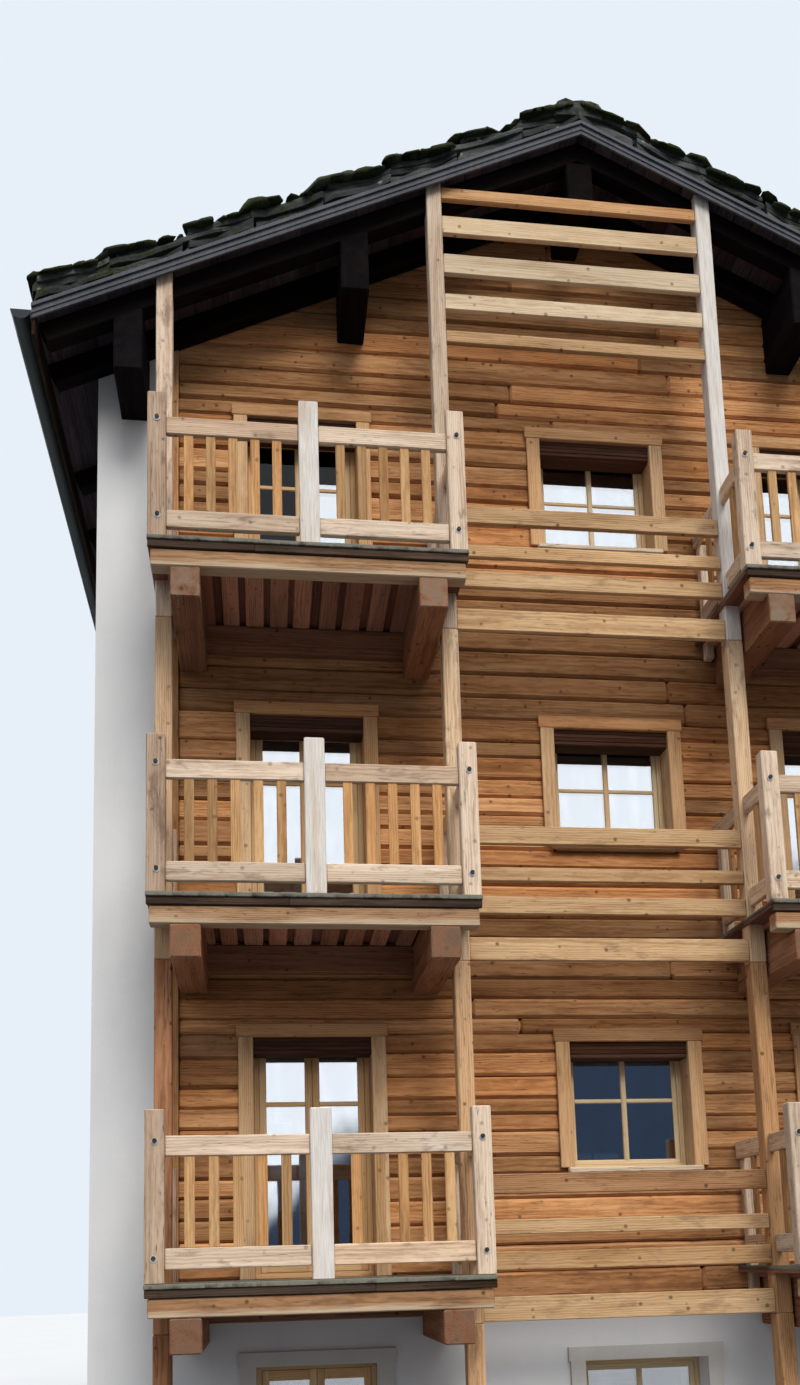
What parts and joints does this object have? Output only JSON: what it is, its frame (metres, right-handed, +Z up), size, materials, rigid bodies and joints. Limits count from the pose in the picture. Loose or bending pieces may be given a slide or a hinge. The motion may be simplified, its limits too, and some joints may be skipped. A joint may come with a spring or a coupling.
{
  "type": "alpine chalet",
  "caption": "Gabled mountain house with masonry side walls, a timber front with stacked balconies between tall posts, and a low-pitched roof of stone slabs.",
  "frame": {"origin": "middle of the walls' outline at ground level, on the ridge line", "axes": "+Z up from the ground, the front with the balconies faces -Y, the ridge runs along Y, +X to the right"},
  "size_m": [10.056, 10.906, 13.619],
  "materials": {
    "concrete": "cast grey concrete",
    "plaster": "light grey lime plaster on masonry",
    "wall_boards": "orange brown oiled boards",
    "floor_boards": "planed softwood boards",
    "roof_timber": "dark brown stained beams",
    "roof_boards": "dark brown boards",
    "roof_stone": "split dark grey slabs with moss",
    "ridge_stone": "split grey slabs with lichen",
    "strip_metal": "folded blue grey sheet",
    "fascia_timber": "brown painted board",
    "gutter_metal": "dark green painted sheet",
    "weathered_timber": "sun bleached timber",
    "deck_timber": "dark weathered planks",
    "beam_timber": "reddish brown timber",
    "corbel_timber": "dark brown timber with grey ends",
    "casing_timber": "orange brown planed boards",
    "pale_render": "off white smooth surround",
    "window_wood": "clear varnished pale wood",
    "sill_timber": "weathered pale timber",
    "sill_stone": "grey stone",
    "pane": "clear double glazing"
  },
  "bodies": {
    "root": {"ground_slab": "concrete", "left_wall": "plaster", "right_wall": "plaster", "front_ground_wall": "plaster", "rear_ground_wall": "plaster", "front_timber_wall": "wall_boards", "rear_timber_wall": "wall_boards", "first_floor": "floor_boards", "second_floor": "floor_boards", "third_floor": "floor_boards", "ridge_purlin": "roof_timber", "middle_purlins": "roof_timber", "wall_plates": "roof_timber", "rafters": "roof_timber", "left_boarding": "roof_boards", "right_boarding": "roof_boards", "left_stone_courses": "roof_stone", "right_stone_courses": "roof_stone", "ridge_stones": "ridge_stone", "verge_strips": "strip_metal", "eave_fascias": "fascia_timber", "gutters": "gutter_metal", "tall_posts": "weathered_timber", "screen_slats": "weathered_timber", "balcony_decks": "deck_timber", "balcony_beams": "beam_timber", "balcony_corbels": "corbel_timber", "balcony_ledgers": "corbel_timber", "railing_posts": "weathered_timber", "front_railing_panels": "weathered_timber", "side_railing_panels": "weathered_timber", "front_casings": "casing_timber", "ground_casings": "pale_render", "front_window_frames": "window_wood", "front_sills": "sill_timber", "balcony_door_frames": "window_wood", "balcony_door_leaves": "window_wood", "front_glass": "pane", "rear_casings": "casing_timber", "rear_window_frames": "window_wood", "rear_sills": "sill_timber", "rear_glass": "pane", "side_window_frames": "window_wood", "side_sills": "sill_stone", "side_glass": "pane"}
  },
  "joints": []
}
